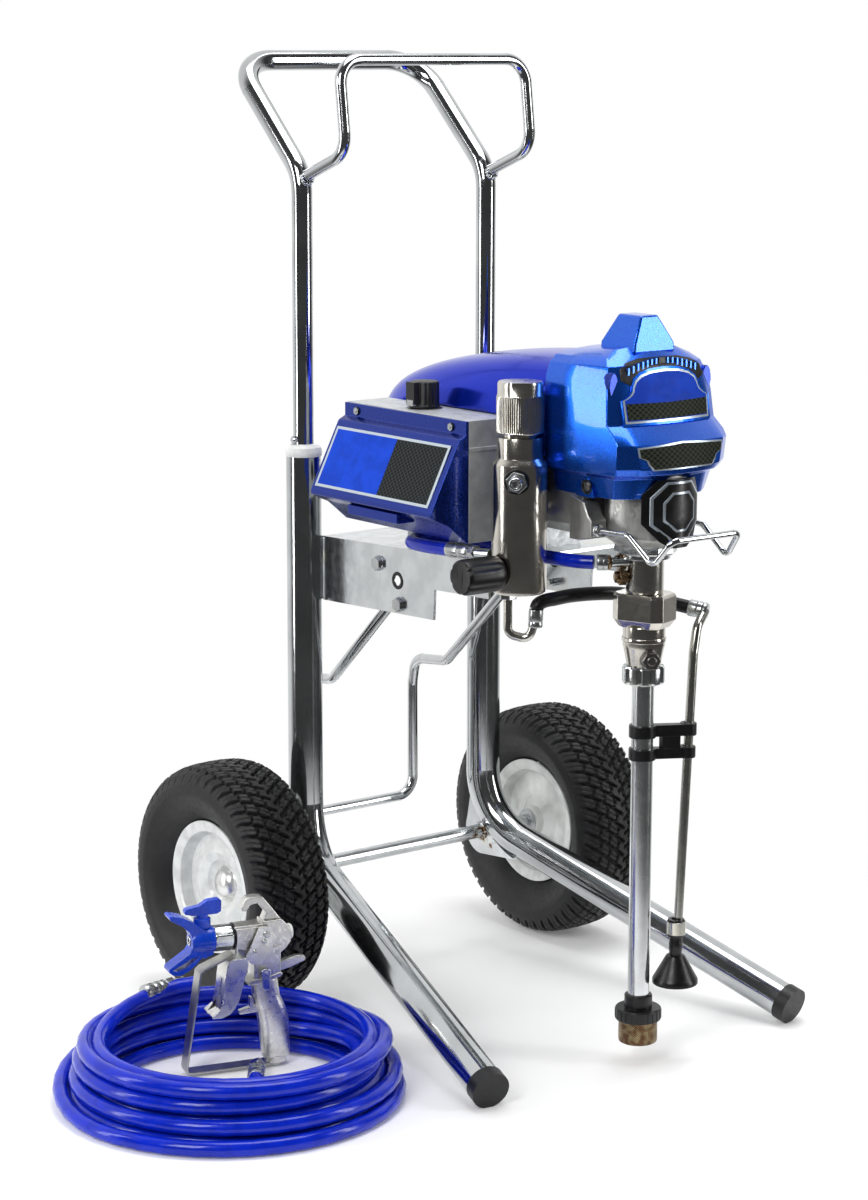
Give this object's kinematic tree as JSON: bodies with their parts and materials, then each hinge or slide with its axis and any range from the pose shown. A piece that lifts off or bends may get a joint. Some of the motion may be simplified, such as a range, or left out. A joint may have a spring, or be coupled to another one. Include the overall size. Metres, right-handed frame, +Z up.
{
  "type": "airless paint sprayer",
  "caption": "Airless paint sprayer on a two-wheel cart with telescoping handle, piston pump, suction and drain tubes, spray gun and coiled fluid hose.",
  "frame": {"origin": "on the floor, midway between the two upright tubes, under the axle", "axes": "+Z up; -Y forward, towards the pump and the leg ends; -X towards the control box"},
  "size_m": [0.8337, 0.6343, 1.0181],
  "materials": {
    "tube_steel": "nickel-plated steel tube, satin bright",
    "tube_steel_rack": "bright plated rod",
    "zinc": "white zinc plated sheet and wire",
    "black_plastic": "black moulded plastic",
    "white_plastic": "white nylon",
    "tyre_rubber": "black rubber",
    "rim_white": "white painted steel rim",
    "blue_cover": "metallic blue moulded cover",
    "cast_grey": "grey cast aluminium housing",
    "cast_alu": "bead-blasted cast aluminium",
    "nickel": "nickel-plated machined steel",
    "stainless": "turned stainless steel",
    "suction_alu": "bright drawn aluminium tube",
    "steel_dark": "steel",
    "black_rubber": "black rubber hose",
    "hose_blue": "blue polymer hose jacket",
    "gun_metal": "cast and plated gun metal",
    "tip_blue": "blue moulded plastic",
    "panel_blue": "blue painted cover with a printed panel"
  },
  "bodies": {
    "cart": {"side_tube_left": "tube_steel", "side_tube_right": "tube_steel", "leg_caps": "black_plastic", "axle": "tube_steel_rack", "handle_bushes": "white_plastic", "hub_caps": "zinc", "motor_tray": "zinc", "hose_rack": "tube_steel_rack", "screws": "zinc", "motor_case": "cast_grey", "drive_housing": "cast_alu", "bearing_housing": "cast_alu", "rear_shroud": "blue_cover", "front_cover": "blue_cover", "pump_cylinder": "stainless", "pump_body": "nickel", "pump_plug": "steel_dark", "suction_nut": "zinc", "suction_tube": "suction_alu", "strainer": "black_plastic", "drain_tube": "stainless", "drain_deflector": "black_plastic", "tube_clip": "black_plastic", "drain_hose": "black_rubber", "pail_hook": "zinc", "control_box": "cast_grey", "control_cover": "panel_blue", "manifold_body": "nickel", "filter_element": "black_plastic", "outlet_fitting": "zinc", "return_tube": "stainless", "link_hose": "hose_blue", "gun_body": "gun_metal", "gun_guard": "gun_metal", "hose_coil": "hose_blue", "hose_lead": "hose_blue", "hose_couplings": "zinc"},
    "handle": {"handle_tube": "tube_steel", "handle_hoop": "tube_steel_rack"},
    "button_left": {"snap_button_left": "tube_steel_rack"},
    "button_right": {"snap_button_right": "tube_steel_rack"},
    "wheel_left": {"tyre_left": "tyre_rubber", "rim_left": "rim_white"},
    "wheel_right": {"tyre_right": "tyre_rubber", "rim_right": "rim_white"},
    "motor_shaft": {"motor_rotor": "steel_dark", "motor_fan": "black_plastic"},
    "crank_gear": {"drive_gear": "steel_dark"},
    "piston": {"pump_rod": "stainless", "connecting_rod": "steel_dark"},
    "guard_slide": {"pin_guard": "black_plastic"},
    "pressure_knob": {"pressure_knob": "black_plastic"},
    "power_switch": {"power_switch": "black_plastic"},
    "filter_cap": {"filter_cap": "nickel"},
    "prime_valve": {"prime_valve": "black_plastic"},
    "trigger": {"gun_trigger": "gun_metal"},
    "needle": {"gun_needle": "stainless"},
    "trigger_lock": {"gun_lock": "zinc"},
    "tip_guard": {"tip_guard": "tip_blue"},
    "spray_tip": {"spray_tip": "tip_blue"}
  },
  "joints": [
    {"name": "handle_slide", "type": "slide", "parent": "cart", "child": "handle", "axis": [0, 0, -1], "range_m": [0, 0.26]},
    {"name": "button_left_press", "type": "slide", "parent": "handle", "child": "button_left", "axis": [1, 0, 0], "range_m": [0, 0.005], "stiffness_N_per_m": 600},
    {"name": "button_right_press", "type": "slide", "parent": "handle", "child": "button_right", "axis": [-1, 0, 0], "range_m": [0, 0.005], "stiffness_N_per_m": 600},
    {"name": "wheel_left_spin", "type": "hinge", "parent": "cart", "child": "wheel_left", "pos_m": [-0.2244, 0, 0.1334], "axis": [1, 0, 0], "continuous": true},
    {"name": "wheel_right_spin", "type": "hinge", "parent": "cart", "child": "wheel_right", "pos_m": [0.2244, 0, 0.1334], "axis": [1, 0, 0], "continuous": true},
    {"name": "motor_spin", "type": "hinge", "parent": "cart", "child": "motor_shaft", "pos_m": [0, -0.2, 0.6], "axis": [0, 1, 0], "continuous": true},
    {"name": "crank_spin", "type": "hinge", "parent": "cart", "child": "crank_gear", "pos_m": [0, -0.35, 0.65], "axis": [0, 1, 0], "continuous": true},
    {"name": "pump_stroke", "type": "slide", "parent": "cart", "child": "piston", "axis": [0, 0, -1], "range_m": [0, 0.025]},
    {"name": "guard_lift", "type": "slide", "parent": "cart", "child": "guard_slide", "axis": [0, 0, 1], "range_m": [0, 0.025]},
    {"name": "pressure_knob_turn", "type": "hinge", "parent": "cart", "child": "pressure_knob", "pos_m": [-0.102, -0.183, 0.659], "axis": [0, 0, 1], "range_deg": [-140, 140]},
    {"name": "power_switch_flip", "type": "hinge", "parent": "cart", "child": "power_switch", "pos_m": [-0.1, -0.089, 0.6], "axis": [1, 0, 0], "range_deg": [0, 40]},
    {"name": "filter_cap_turn", "type": "hinge", "parent": "cart", "child": "filter_cap", "pos_m": [-0.104, -0.339, 0.67], "axis": [0, 0, 1], "range_deg": [0, 1080]},
    {"name": "prime_valve_turn", "type": "hinge", "parent": "cart", "child": "prime_valve", "pos_m": [-0.15, -0.339, 0.513], "axis": [1, 0, 0], "range_deg": [0, 90]},
    {"name": "trigger_pull", "type": "hinge", "parent": "cart", "child": "trigger", "pos_m": [-0.31257, -0.18897, 0.144], "axis": [-0.2756, -0.9613, 0], "range_deg": [0, 10], "stiffness_Nm_per_rad": 2, "springref_deg": -17.19},
    {"name": "needle_pull", "type": "slide", "parent": "cart", "child": "needle", "axis": [0.9613, -0.2756, 0], "range_m": [0, 0.002]},
    {"name": "trigger_lock_turn", "type": "hinge", "parent": "cart", "child": "trigger_lock", "pos_m": [-0.31932, -0.2016, 0.104], "axis": [0.2756, 0.9613, 0], "range_deg": [0, 80]},
    {"name": "tip_guard_turn", "type": "hinge", "parent": "cart", "child": "tip_guard", "pos_m": [-0.35968, -0.17546, 0.141], "axis": [0.9613, -0.2756, 0], "range_deg": [-90, 90]},
    {"name": "spray_tip_turn", "type": "hinge", "parent": "tip_guard", "child": "spray_tip", "pos_m": [-0.3741, -0.17133, 0.141], "axis": [0, 0, 1], "range_deg": [0, 180]}
  ],
  "couplings": [
    {"joint": "crank_spin", "follows": "motor_spin", "ratio": -0.25},
    {"joint": "needle_pull", "follows": "trigger_pull", "m_per_rad": 0.011459}
  ]
}
